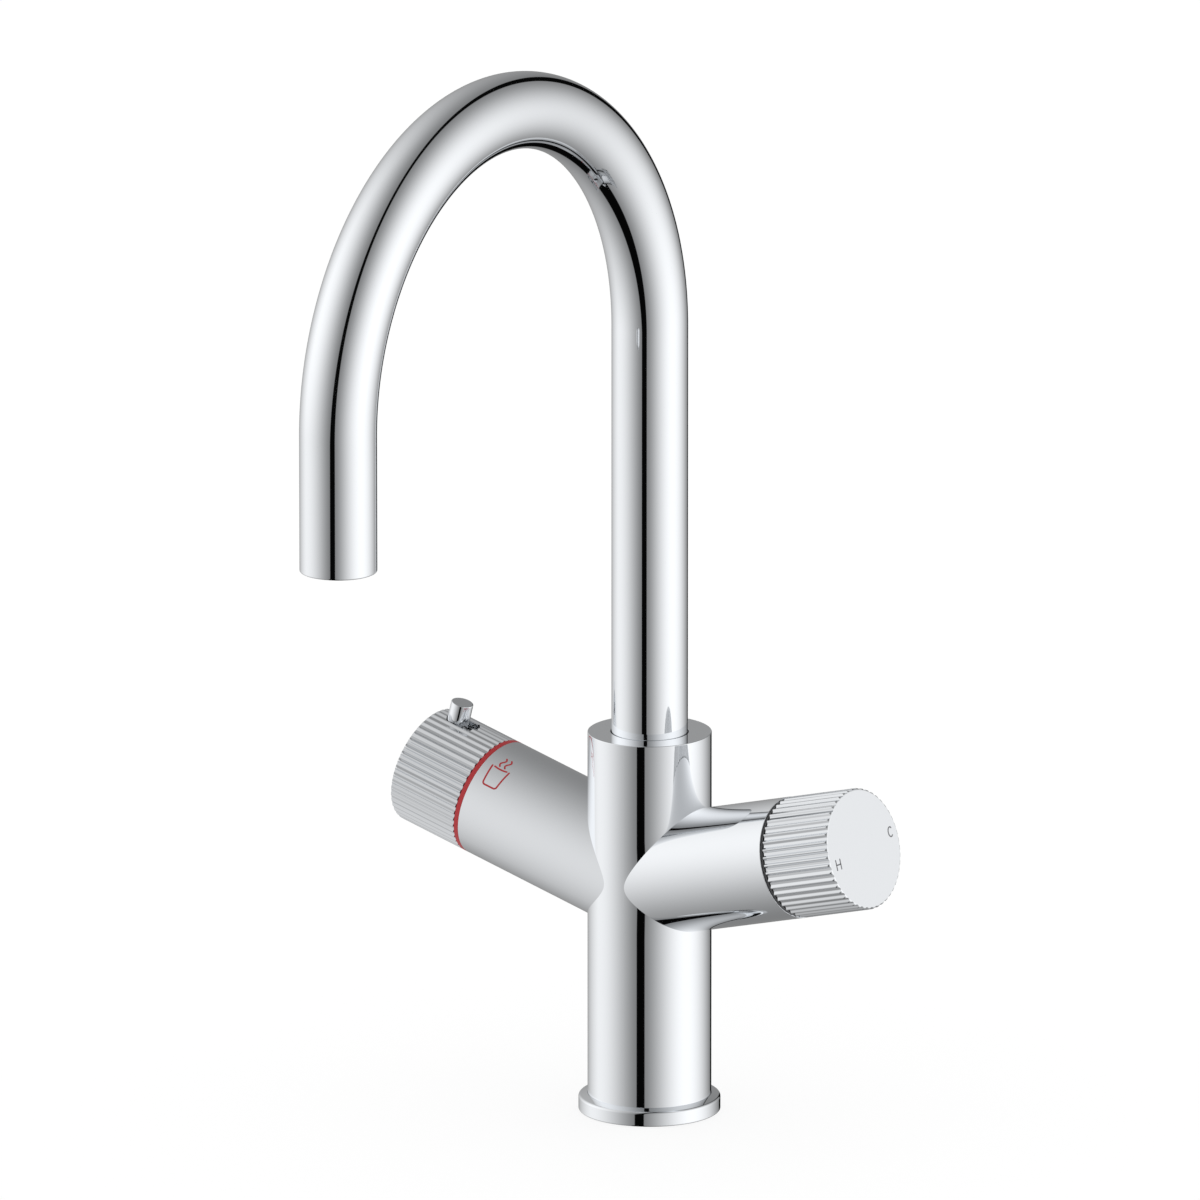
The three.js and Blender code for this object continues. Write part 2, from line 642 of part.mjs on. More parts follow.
// Up from a foot, over the arch and down to an end. One step spans each straight, the rest follow the arch.
class SwanNeck extends THREE.Curve {
  constructor(foot, end, steps) {
    super();
    Object.assign(this, { foot, end, steps });
  }
  angleAt(t) {
    return Math.PI * THREE.MathUtils.clamp((t * (this.steps + 2) - 1) / this.steps, 0, 1);
  }
  getPoint(t, target = new THREE.Vector3()) {
    const step = t * (this.steps + 2);
    const angle = this.angleAt(t);
    const y = -archRadius * (1 - Math.cos(angle));
    let z = archHeight + archRadius * Math.sin(angle);
    if (step < 1) z = THREE.MathUtils.lerp(this.foot, archHeight, step);
    if (step > this.steps + 1) z = THREE.MathUtils.lerp(archHeight, this.end, step - this.steps - 1);
    return target.set(0, y, z);
  }
  getTangent(t, target = new THREE.Vector3()) {
    return target.set(0, -Math.sin(this.angleAt(t)), Math.cos(this.angleAt(t)));
  }
  getPointAt(t, target) { return this.getPoint(t, target); }
  getTangentAt(t, target) { return this.getTangent(t, target); }
  getSpacedPoints(count) { return this.getPoints(count); }
}

function bentTube(outer, inner, foot, end, facets, steps) {
  const section = new THREE.Shape().absarc(0, 0, outer, 0, 2 * Math.PI, false);
  section.holes.push(new THREE.Path().absarc(0, 0, inner, 0, 2 * Math.PI, true));
  return closedBody(new THREE.ExtrudeGeometry(section, {
    steps: steps + 2, extrudePath: new SwanNeck(foot, end, steps), curveSegments: facets / 2,
  }));
}

function spoutSpigot() {
  const bore = pipeRadius - pipeWall;
  const neckTop = spigotTop + spigotNeckLength;
  const profile = [
    [spigotBore, spigotFoot], [spigotRadius, spigotFoot], [spigotRadius, spigotTop],
    [bore - gap, spigotTop], [bore - gap, neckTop], [spigotBore, neckTop],
  ];
  const grooveBottom = spigotRadius - grooveDepth;
  const ringGrooves = oringHeights.map((height) => {
    const middle = spigotFoot + height;
    const half = oringSection + gap;
    return tube(grooveBottom, pipeRadius + 1, middle - half, middle + half, sides.pipe);
  });
  const webHalf = Math.PI - swivelHalf - Math.asin(dogRadius / grooveBottom) - stopClearance;
  const [stopFrom, stopTo] = [-1, 1].map((side) => spoutScrewHeight + side * stopGrooveWidth / 2);
  const stopGroove = ringSector(grooveBottom, pipeRadius + 1, Math.PI - webHalf, stopFrom, stopTo,
    Math.PI / 2, sides.pipe / 2);
  return combine(turned(profile, sides.pipe), { remove: [...ringGrooves, stopGroove] });
}

function oring(height) {
  const middle = spigotRadius - grooveDepth + gap + oringSection;
  const section = Array.from({ length: sides.oring }, (_, i) => {
    const angle = 2 * Math.PI * i / sides.oring;
    return [middle + oringSection * Math.cos(angle), spigotFoot + height + oringSection * Math.sin(angle)];
  });
  return turned(section, sides.pipe);
}

function spoutScrew() {
  const seat = pipeRadius + 2 * gap;
  const tip = spigotRadius - grooveDepth + gap;
  const head = columnRadius - spoutScrewRecess;
  return turned([[0, tip], [dogRadius, tip], [dogRadius, seat], [spoutScrewRadius, seat],
    [spoutScrewRadius, head], [0, head]], sides.hole)
    .rotateX(-Math.PI / 2).translate(0, 0, spoutScrewHeight);
}

place(tap, 'spout_screw', spoutScrew(), steel);
place(tap, 'glide_ring', tube(spigotRadius - glideRingWidth, spigotRadius, socketFloor + gap,
  socketFloor + gap + glideRingHeight, sides.pipe), greyPlastic);
place(spout, 'spout_pipe', bentTube(pipeRadius, pipeRadius - pipeWall, pipeFoot, outletHeight, sides.pipe,
  archSteps.pipe), chrome);
place(spout, 'spout_spigot', spoutSpigot(), brass);
place(spout, 'spout_oring_lower', oring(oringHeights[0]), rubber);
place(spout, 'spout_oring_upper', oring(oringHeights[1]), rubber);

// ---------------------------------------------------------------- outlet

const outletPlace = [0, -2 * archRadius, outletHeight + outletRecess];
const housingRadius = pipeRadius - pipeWall - gap;
const straightenerRadius = housingRadius - housingWall - gap;
const nozzleTop = housingLip.height + gap + straightenerHeight;

function outletHousing() {
  const bore = housingRadius - housingWall;
  return turned([
    [bore - housingLip.width, 0], [housingRadius, 0], [housingRadius, housingHeight], [bore, housingHeight],
    [bore, housingLip.height], [bore - housingLip.width, housingLip.height],
  ], sides.pipe).translate(...outletPlace);
}

function flowStraightener() {
  const bore = nozzleRadius + gap;
  const holeCircle = (bore + straightenerRadius) / 2;
  const holes = Array.from({ length: straightenerHoles }, (_, i) => {
    const angle = 2 * Math.PI * i / straightenerHoles;
    return [holeCircle * Math.cos(angle), holeCircle * Math.sin(angle), straightenerHoleRadius];
  });
  const start = housingLip.height + gap;
  return drilledPlate(straightenerRadius, [[0, 0, bore], ...holes], start, start + straightenerHeight)
    .translate(...outletPlace);
}

place(spout, 'outlet_housing', outletHousing(), chrome);
place(spout, 'flow_straightener', flowStraightener(), greyPlastic);
place(spout, 'boiling_nozzle',
  tube(innerTubeBore, nozzleRadius, -nozzleDrop, nozzleTop, sides.hole).translate(...outletPlace), chrome);
place(spout, 'inner_tube', bentTube(innerTubeRadius, innerTubeBore, socketFloor - innerTubeDepth,
  outletPlace[2] + nozzleTop + gap, innerTubeSides, archSteps.inner), clearTube);

export default tap;
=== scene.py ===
"""A chrome boiling water tap with a swan-neck spout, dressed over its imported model. Metres, +Z up."""

import json
import math

import bmesh
import bpy
import numpy as np
from mathutils import Matrix, Vector

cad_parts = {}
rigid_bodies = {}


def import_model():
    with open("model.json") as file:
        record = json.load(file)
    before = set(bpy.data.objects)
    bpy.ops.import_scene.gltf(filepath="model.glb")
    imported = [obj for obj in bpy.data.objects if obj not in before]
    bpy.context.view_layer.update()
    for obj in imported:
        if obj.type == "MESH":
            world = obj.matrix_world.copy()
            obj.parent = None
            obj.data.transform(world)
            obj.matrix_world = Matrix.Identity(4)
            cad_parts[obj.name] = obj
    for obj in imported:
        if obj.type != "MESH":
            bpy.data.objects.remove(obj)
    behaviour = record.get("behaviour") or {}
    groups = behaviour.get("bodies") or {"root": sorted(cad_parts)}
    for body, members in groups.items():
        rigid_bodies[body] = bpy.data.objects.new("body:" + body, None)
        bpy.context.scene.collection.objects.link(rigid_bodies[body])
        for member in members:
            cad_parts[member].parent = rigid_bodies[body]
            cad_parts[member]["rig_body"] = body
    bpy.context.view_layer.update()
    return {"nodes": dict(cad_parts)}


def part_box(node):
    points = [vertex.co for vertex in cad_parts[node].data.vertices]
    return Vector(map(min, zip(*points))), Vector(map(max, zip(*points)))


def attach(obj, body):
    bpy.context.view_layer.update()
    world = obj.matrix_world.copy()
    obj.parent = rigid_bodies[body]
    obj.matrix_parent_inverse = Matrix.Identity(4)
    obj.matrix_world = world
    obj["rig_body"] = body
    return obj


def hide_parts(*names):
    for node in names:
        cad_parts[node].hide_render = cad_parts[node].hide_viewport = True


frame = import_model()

# ---------------------------------------------------------------------------------------------------------
# The camera stands where the photograph's did: almost ten metres off, so that uprights stay upright, to the
# front right of the tap and some fifteen degrees above it. The frame is the photograph's square.
camera_azimuth = math.radians(35.88)
camera_elevation = math.radians(14.67)
camera_distance = 9.643
frame_span = 0.4409  # what the frame's side takes in at the tap
aim_right = -0.01817
aim_up = 0.18654

toward_camera = Vector((
    math.sin(camera_azimuth) * math.cos(camera_elevation),
    -math.cos(camera_azimuth) * math.cos(camera_elevation),
    math.sin(camera_elevation),
))
camera_right = Vector((math.cos(camera_azimuth), math.sin(camera_azimuth), 0))
camera_up = toward_camera.cross(camera_right)

camera_data = bpy.data.cameras.new("photo_camera")
camera_data.sensor_width = 36
camera_data.lens = camera_data.sensor_width * camera_distance / frame_span
camera_data.clip_end = 100
camera = bpy.data.objects.new("photo_camera", camera_data)
camera.matrix_world = (
    Matrix.Translation(aim_right * camera_right + aim_up * camera_up + camera_distance * toward_camera)
    @ Matrix((camera_right, camera_up, toward_camera)).transposed().to_4x4()
)
bpy.context.scene.collection.objects.link(camera)
bpy.context.scene.camera = camera
bpy.context.scene.view_settings.view_transform = "Standard"


# ---------------------------------------------------------------------------------------------------------
# The studio: the camera sees plain white. What the chrome mirrors is a white tent: its two walls, right and
# left, glow brightest at their middles and fall off to grey where they meet in a tall ring round the tap.
# There a narrow black gap is left open, which draws the dark line down every tube.
class Signal:
    """One output of a shader node. Arithmetic on signals and numbers adds Math nodes to their tree."""

    def __init__(self, tree, socket=None):
        self.tree, self.socket = tree, socket

    def node(self, kind, inputs=(), output=0, **settings):
        """Adds a node of that kind, sets it up, feeds its inputs, and gives one output as a signal."""
        node = self.tree.nodes.new(kind)
        for name, value in settings.items():
            setattr(node, name, value)
        for name, value in dict(inputs).items():
            if isinstance(value, Signal):
                self.tree.links.new(value.socket, node.inputs[name])
            else:
                node.inputs[name].default_value = value
        return Signal(self.tree, node.outputs[output] if node.outputs else None)

    def math(self, operation, *values):
        """Adds a Math node with that operation on those values."""
        return self.node("ShaderNodeMath", enumerate(values), operation=operation)

    def __add__(self, other):
        return self.math("ADD", self, other)

    def __sub__(self, other):
        return self.math("SUBTRACT", self, other)

    def __rsub__(self, other):
        return self.math("SUBTRACT", other, self)

    def __mul__(self, other):
        return self.math("MULTIPLY", self, other)

    def __truediv__(self, other):
        return self.math("DIVIDE", self, other)

    __radd__ = __add__
    __rmul__ = __mul__


def step(signal, low, high):
    """0 below low, 1 above high, and a smooth slope between them."""
    share = (signal - low) / (high - low)
    return signal.node("ShaderNodeMapRange", {"Value": share}, interpolation_type="SMOOTHSTEP")


def dot(signal, vector):
    """How far a place or a direction reaches along a fixed vector: their dot product."""
    return signal.node(
        "ShaderNodeVectorMath", {0: signal, 1: vector}, output="Value", operation="DOT_PRODUCT")


wall_bearing = math.radians(73)  # of the right wall's middle, from the camera's direction
wall_dip = math.radians(6.7)  # of that middle, below the horizon
camera_front = Vector((camera_right.y, -camera_right.x, 0))
wall_middle = (
    math.sin(wall_bearing) * camera_right + math.cos(wall_bearing) * camera_front
) * math.cos(wall_dip) - Vector((0, 0, math.sin(wall_dip)))
seam_grey = 0.2
right_glow, right_fall = 0.948, 1.773
left_glow, left_fall = 0.857, 1.48
back_loss, back_start = 0.42, 0.37  # the left wall is greyer behind the tap
rise_gain = 0.1  # and the tent is brighter towards its top
gap_right, gap_left = 0.148, -0.07  # the gap's edges, as sines of the angle off the seam
gap_right_rise, gap_left_rise = -0.055, 0.065  # how the edges close in from the floor to the top
gap_edge = 0.01
gap_shade = 0.99  # of the light, lost in the gap

world = bpy.data.worlds.new("studio")
world.use_nodes = True
world.node_tree.nodes.clear()
bpy.context.scene.world = world
studio = Signal(world.node_tree)
direction = studio.node("ShaderNodeTexCoord", output="Generated")
side = dot(direction, wall_middle)
height = studio.node("ShaderNodeSeparateXYZ", {0: direction}, output="Z")
right_wall = right_glow * studio.math("POWER", studio.math("MAXIMUM", side, 0), right_fall)
left_wall = left_glow * studio.math("POWER", studio.math("MAXIMUM", 0 - side, 0), left_fall)
right_edge = gap_right + gap_right_rise * height
left_edge = gap_left + gap_left_rise * height
gap = step(side - left_edge, -gap_edge, gap_edge) * step(right_edge - side, -gap_edge, gap_edge)
lost = back_loss * studio.math("MAXIMUM", dot(direction, -camera_front) - back_start, 0)
walls = seam_grey + right_wall + left_wall * (1 - lost)
tent = walls * (1 + rise_gain * height) * (1 - gap_shade * gap)
mirror_ray = studio.node("ShaderNodeLightPath", output="Is Glossy Ray")
brightness = 1 + mirror_ray * (tent - 1)
sky = studio.node("ShaderNodeBackground", {"Color": (1, 1, 1, 1), "Strength": brightness})
studio.node("ShaderNodeOutputWorld", {"Surface": sky})

# ---------------------------------------------------------------------------------------------------------
# The worktop under the tap: a broad white sheet that keeps a faint shadow. It isn't part of the tap, and it
# lies a hair below the foot, so that the two faces don't touch.
sheet_reach = 4.0
sheet_level = -0.0002
sheet_colour = (0.2, 0.2, 0.2, 1)
sheet_glow = 0.81

sheet_corners = [
    (x * sheet_reach, y * sheet_reach, sheet_level) for x, y in ((-1, -1), (1, -1), (1, 1), (-1, 1))
]
sheet_mesh = bpy.data.meshes.new("worktop")
sheet_mesh.from_pydata(sheet_corners, [], [(0, 1, 2, 3)])
sheet_material = bpy.data.materials.new("white_sheet")
sheet_material.use_nodes = True
sheet_material.node_tree.nodes.clear()
paper = Signal(sheet_material.node_tree)
matt = paper.node("ShaderNodeBsdfDiffuse", {"Color": sheet_colour})
own_light = paper.node("ShaderNodeEmission", {"Color": (1, 1, 1, 1), "Strength": sheet_glow})
lit_paper = paper.node("ShaderNodeAddShader", {0: matt, 1: own_light})
paper.node("ShaderNodeOutputMaterial", {"Surface": lit_paper})
sheet_mesh.materials.append(sheet_material)
worktop = bpy.data.objects.new("worktop", sheet_mesh)
bpy.context.scene.collection.objects.link(worktop)
worktop.visible_glossy = False

# ---------------------------------------------------------------------------------------------------------
# The foot ring is turned from brass and chrome-plated. It covers the hole in the worktop, and the column
# stands on its inner lip. Its top falls away outwards and its edges are rounded.
foot_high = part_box("base_ring")[1]
foot_radius, foot_height = foot_high.x, foot_high.z
foot_rise, foot_fall = 0.0005, 0.0004  # of its top, at the column and at the rim
foot_fillet, foot_base_fillet = 0.001, 0.0005
foot_lip = 0.002
foot_bore = 0.0175
column_radius = 0.02275
foot_seat = column_radius + 0.00004  # where the ring closes up to the column
play = 0.0003  # between pieces that touch or run on each other
crisp, soft = 0.0001, 0.0002  # fillets of an edge that is just broken, and of one a little rounder
seal_radius, seal_half, seal_height = 0.0242, 0.0009, 0.0016
groove_depth = 0.0019


def rounded(corners, closed=False, turn_step=math.radians(5.5), hold=0.00005):
    """The outline through (radius, height, fillet) corners. An arc replaces each corner: it leaves one side
    at the tangent length, fillet / tan(half the corner's angle), and turns into the other in equal steps. A
    point close to each end of a straight side keeps that side flat when the surface is shaded."""
    corners = np.asarray(corners, float)
    points = corners[:, :2]
    outline = []
    for i, (point, fillet) in enumerate(zip(points, corners[:, 2])):
        if not closed and i in (0, len(points) - 1):
            outline.append(point[None])
            continue
        to_last, to_next = points[i - 1] - point, points[(i + 1) % len(points)] - point
        to_last, to_next = to_last / np.linalg.norm(to_last), to_next / np.linalg.norm(to_next)
        half = math.acos(np.clip(to_last @ to_next, -1, 1)) / 2
        if fillet == 0:
            outline.append(np.array([point + hold * to_last, point, point + hold * to_next]))
            continue
        middle = to_last + to_next
        centre = point + middle / np.linalg.norm(middle) * fillet / math.sin(half)
        reach = fillet / math.tan(half)
        start, end = point + to_last * reach - centre, point + to_next * reach - centre
        sweep = math.pi - 2 * half
        share = np.linspace(0, 1, max(2, math.ceil(sweep / turn_step) + 1))[:, None]
        arc = (np.sin((1 - share) * sweep) * start + np.sin(share * sweep) * end) / math.sin(sweep) + centre
        outline.append(np.vstack([arc[:1] + hold * to_last, arc, arc[-1:] + hold * to_next]))
    return np.vstack(outline)


def turned(outline, around=192):
    """A surface of revolution: each (radius, height) of the outline goes round the axis in equal steps, to
    x = radius cos(angle), y = radius sin(angle), z = height."""
    angle = np.arange(around) * 2 * math.pi / around
    radius, height = np.asarray(outline, float).T[..., None]
    return np.stack([radius * np.cos(angle), radius * np.sin(angle), np.repeat(height, around, 1)], axis=-1)


def skin(points, round_columns=True, round_rows=False):
    """The corners and quads of a grid of points, which may close on itself along its rows or its columns."""
    rows, columns = points.shape[:2]
    i, j = np.meshgrid(
        np.arange(rows if round_rows else rows - 1), np.arange(columns if round_columns else columns - 1),
        indexing="ij",
    )
    below, beside = (i + 1) % rows, (j + 1) % columns
    faces = np.stack([
        i * columns + j, i * columns + beside, below * columns + beside, below * columns + j,
    ], axis=-1)
    return points.reshape(-1, 3), faces.reshape(-1, 4)


def solid_mesh(name, skins, crease=math.radians(8), weld=1e-6):
    """One mesh from several grids: their touching edges are welded, their faces turned outwards, and every
    edge that bends by more than the crease angle stays sharp."""
    corners, faces, count = [], [], 0
    for skin_corners, skin_faces in skins:
        corners.append(skin_corners)
        faces.append(skin_faces + count)
        count += len(skin_corners)
    mesh = bpy.data.meshes.new(name)
    mesh.from_pydata(np.vstack(corners).tolist(), [], np.vstack(faces).tolist())
    built = bmesh.new()
    built.from_mesh(mesh)
    bmesh.ops.remove_doubles(built, verts=built.verts, dist=weld)
    bmesh.ops.recalc_face_normals(built, faces=built.faces)
    built.to_mesh(mesh)
    built.free()
    mesh.shade_smooth()
    mesh.set_sharp_from_angle(angle=crease)
    return mesh


def finish(name, slot, colour, roughness, spread, grain, painted_shade=None, **settings):
    """A material for one of the record's slots: one colour, with a roughness that wanders by `spread` round
    its middle value, over spots `grain` wide. Where `painted_shade` is given, it works out from the place how
    much of the colour is kept, and so paints shade into the colour."""
    material = bpy.data.materials.new(name)
    material["slot"] = slot
    material.use_nodes = True
    material.node_tree.nodes.clear()
    surface = Signal(material.node_tree)
    place = surface.node("ShaderNodeTexCoord", output="Object")
    spots = surface.node("ShaderNodeTexNoise", {"Vector": place, "Scale": 1 / grain, "Detail": 3.0})
    inputs = {"Base Color": (*colour, 1), "Roughness": roughness + spread * (spots - 0.5), **settings}
    if painted_shade:
        inputs["Base Color"] = surface.node(
            "ShaderNodeVectorMath", {0: colour, "Scale": painted_shade(place)}, operation="SCALE")
    surface.node("ShaderNodeOutputMaterial", {"Surface": surface.node("ShaderNodeBsdfPrincipled", inputs)})
    return material


def fit(name, mesh, material, node):
    """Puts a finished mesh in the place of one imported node, on that node's body."""
    piece = bpy.data.objects.new(name, mesh)
    bpy.context.scene.collection.objects.link(piece)
    mesh.materials.clear()
    mesh.materials.append(material)
    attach(piece, frame["nodes"][node]["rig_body"])
    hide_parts(node)
    return piece


# Bright chrome plate: a cool clean mirror whose sheen varies by a hair where it has been wiped.
chrome_colour = (0.905, 0.925, 0.95)
chrome_sheen = (0.035, 0.02, 0.02)  # its roughness, how far that wanders, and over how wide a spot
chrome = finish("chrome_plate", "chrome", chrome_colour, *chrome_sheen, Metallic=1.0)

groove_inner, groove_outer = seal_radius - seal_half - play, seal_radius + seal_half + play
foot_outline = rounded([
    (foot_bore, 0, soft), (groove_inner, 0, crisp), (groove_inner, groove_depth, crisp),
    (groove_outer, groove_depth, crisp), (groove_outer, 0, crisp), (foot_radius, 0, foot_base_fillet),
    (foot_radius, foot_height - foot_fall, foot_fillet), (foot_seat, foot_height + foot_rise, crisp),
    (foot_seat, foot_lip, crisp), (foot_bore, foot_lip, crisp),
], closed=True)
foot_mesh = solid_mesh("foot_ring", [skin(turned(foot_outline), round_rows=True)])
fit("foot_ring", foot_mesh, chrome, "base_ring")

# ---------------------------------------------------------------------------------------------------------
# The seal is a black rubber ring, moulded with rounded edges and pressed into the groove under the foot ring,
# so that no water runs under the tap.
seal_fillet = 0.0003
rubber = finish("black_rubber", "rubber", (0.02, 0.02, 0.022), 0.75, 0.1, 0.001)
seal_outline = rounded([
    (seal_radius - seal_half, 0, seal_fillet), (seal_radius + seal_half, 0, seal_fillet),
    (seal_radius + seal_half, seal_height, seal_fillet), (seal_radius - seal_half, seal_height, seal_fillet),
], closed=True)
seal_mesh = solid_mesh("foot_seal", [skin(turned(seal_outline), round_rows=True)])
fit("foot_seal", seal_mesh, rubber, "base_seal")

# ---------------------------------------------------------------------------------------------------------
# The inlet block closes the column's foot: a turned brass plug with three sockets for the hoses and a blind
# hole for the fixing stud, all drilled from below. Their threads are left out.
inlet_height = 0.022
port_offset = 0.0068
socket_bore, socket_depth = 0.0048, 0.012
stud_bore, stud_depth = 0.0034, 0.014
port_chamfer = 0.0005
block_edge, block_fillet = foot_bore - play, 0.0004

brass = finish("machined_brass", "brass", (0.78, 0.62, 0.33), 0.28, 0.1, 0.002, Metallic=1.0)
block_outline = rounded([
    (0, 0, 0), (block_edge, 0, block_fillet), (block_edge, inlet_height, block_fillet), (0, inlet_height, 0),
])
block = fit("inlet_plug", solid_mesh("inlet_plug", [skin(turned(block_outline))]), brass, "inlet_block")


def drill(piece, name, mesh, crease=math.radians(8)):
    """Cuts a closed mesh out of a piece for good. Edges that bend by more than the crease angle are sharp."""
    bit = bpy.data.objects.new(name, mesh)
    bpy.context.scene.collection.objects.link(bit)
    cut = piece.modifiers.new(name, "BOOLEAN")
    cut.operation, cut.solver, cut.object = "DIFFERENCE", "MANIFOLD", bit
    depsgraph = bpy.context.evaluated_depsgraph_get()
    drilled = bpy.data.meshes.new_from_object(piece.evaluated_get(depsgraph), depsgraph=depsgraph)
    piece.modifiers.clear()
    piece.data = drilled
    drilled.shade_smooth()
    drilled.set_sharp_from_angle(angle=crease)
    bpy.data.objects.remove(bit)


def port_bit(x, y, bore, depth, around=64):
    """A drill's shape from under the foot up: the chamfer at the mouth, then the straight bore."""
    outline = [
        (0, -port_chamfer), (bore + 2 * port_chamfer, -port_chamfer), (bore, port_chamfer),
        (bore, depth), (0, depth),
    ]
    return skin(turned(outline, around) + np.array([x, y, 0]))


drill(block, "ports", solid_mesh("ports", [
    port_bit(-port_offset, -port_offset, socket_bore, socket_depth),
    port_bit(port_offset, -port_offset, socket_bore, socket_depth),
    port_bit(port_offset, port_offset, socket_bore, socket_depth),
    port_bit(-port_offset, port_offset, stud_bore, stud_depth),
]))

# ---------------------------------------------------------------------------------------------------------
# The body: a tall column with two arms that rise from it at fifteen degrees, cast and turned in one piece of
# brass and chrome-plated. The arms' tubes run into the column's wall on a crisp line, with no blend.
arm_height = 0.0882  # where the arms' axes cross the column's
arm_tilt = math.radians(15)
arm_radius = 0.0223
boiling_side, mixer_side = -1, 1
arm_reach = {boiling_side: 0.0723, mixer_side: 0.0688}
column_top = 0.1433
column_foot = foot_lip + play
inlet_top = inlet_height + play
socket_radius, socket_floor = 0.0143, 0.104
tube_recess_radius, tube_recess_floor = 0.0048, 0.098
valve_radius = 0.017
valve_depth = 0.0297  # inside each arm's end
mouth_fillet, top_fillet = 0.00015, 0.00025  # of the arms' ends and of the column's
arm_around, arm_rows = 192, 13  # grid lines round an arm and along it
between_columns, wall_rows = 14, 9  # and in the column's wall, between the arms and upwards


def arm_point(side, front, up, along):
    """A point near an arm, from how far it lies in front of the arm's axis, above it square to it, and along
    it: the arm's own directions, turned up by the tilt and moved to the arms' height."""
    sine, cosine = math.sin(arm_tilt), math.cos(arm_tilt)
    return np.stack([
        side * (along * cosine - up * sine), -front, arm_height + along * sine + up * cosine,
    ], axis=-1)


def on_arm(side, points):
    """Moves a turned surface from its own axis onto an arm's."""
    return arm_point(side, points[..., 0], points[..., 1], points[..., 2])


def arm_skin(side):
    """The arm's tube: straight lines along the arm, one at each angle. Each starts where it meets the
    column, at along = (column x + up sin tilt) / cos tilt, and ends at the arm's mouth, which turns in to the
    valve."""
    angle = np.arange(arm_around) * 2 * math.pi / arm_around
    front, up = arm_radius * np.cos(angle), arm_radius * np.sin(angle)
    start = (np.sqrt(column_radius**2 - front**2) + up * math.sin(arm_tilt)) / math.cos(arm_tilt)
    reach = arm_reach[side]
    mouth = rounded([
        (arm_radius, 0, 0), (arm_radius, reach, mouth_fillet), (valve_radius, reach, crisp),
        (valve_radius, reach - valve_depth, crisp), (0, reach - valve_depth, 0),
    ])[1:]
    share = np.linspace(0, 1, arm_rows)[:, None]
    along = start + share * (mouth[0, 1] - start)
    tube = arm_point(side, np.broadcast_to(front, along.shape), np.broadcast_to(up, along.shape), along)
    end = on_arm(side, turned(mouth, arm_around))
    return skin(np.vstack([tube, end[1:]]))


def column_skins():
    """The column's wall below and above the arms. On each upright line the wall stops at the arm's outline,
    which lies at arm height + x tan tilt, less or more sqrt(arm radius^2 - y^2) / cos tilt."""
    angle = np.arange(-arm_around // 4, arm_around // 4 + 1) * 2 * math.pi / arm_around
    across = np.arcsin(arm_radius * np.sin(angle) / column_radius)
    edge = across[-1]
    between = np.linspace(edge, math.pi - edge, between_columns)[1:-1]
    bearing = np.concatenate([across, between, math.pi + across, math.pi + between])
    x, y = column_radius * np.cos(bearing), column_radius * np.sin(bearing)
    middle = arm_height + np.abs(x) * math.tan(arm_tilt)
    half = np.sqrt(np.clip(arm_radius**2 - y**2, 0, None)) / math.cos(arm_tilt)
    half[np.abs(y) >= arm_radius * (1 - 1e-9)] = 0
    foot = rounded([
        (0, inlet_top, 0), (foot_bore, inlet_top, crisp), (foot_bore, column_foot, crisp),
        (column_radius, column_foot, crisp), (column_radius, arm_height, 0),
    ])[:-1]
    head = rounded([
        (column_radius, arm_height, 0), (column_radius, column_top, top_fillet),
        (socket_radius, column_top, soft), (socket_radius, socket_floor, crisp),
        (tube_recess_radius, socket_floor, crisp), (tube_recess_radius, tube_recess_floor, crisp),
        (0, tube_recess_floor, 0),
    ])[1:]

    def rings(outline):
        """The turned part of the wall: each (radius, height) of the outline at every bearing."""
        return np.stack([
            outline[:, :1] * np.cos(bearing), outline[:, :1] * np.sin(bearing),
            np.repeat(outline[:, 1:], len(bearing), 1),
        ], axis=-1)

    def wall(low, high):
        """The upright part, on each upright line in equal steps from its low end to its high one."""
        level = low + np.linspace(0, 1, wall_rows)[:, None] * (high - low)
        return np.stack([np.broadcast_to(x, level.shape), np.broadcast_to(y, level.shape), level], axis=-1)

    below = np.vstack([rings(foot), wall(foot[-1, 1], middle - half)[1:]])
    above = np.vstack([wall(middle + half, head[0, 1]), rings(head)[1:]])
    return [skin(below), skin(above)]


body_mesh = solid_mesh("column_and_arms", [*column_skins(), arm_skin(boiling_side), arm_skin(mixer_side)])
body = fit("column_and_arms", body_mesh, chrome, "tap_body")

# ---------------------------------------------------------------------------------------------------------
# The spout's stop screw: a steel grub screw with a hexagon socket, in a plain hole in the column's back. Its
# tip runs in a groove of the spout's foot and holds the spout down.
screw_low, screw_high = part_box("spout_screw")
screw_height = (screw_low.z + screw_high.z) / 2
screw_radius = (screw_high.z - screw_low.z) / 2
screw_tip, screw_shoulder, screw_head = screw_low.y, 0.0146, screw_high.y
screw_tip_radius = 0.0015
screw_hole_start, screw_hole_end = 0.014, 0.03  # from the column's axis
key_depth = 0.0014
key_share, edge_share = 0.5, 0.15  # of the screw's radius: half the key's width, and the broken edge

steel = finish("plain_steel", "steel", (0.62, 0.63, 0.65), 0.3, 0.1, 0.002, Metallic=1.0)


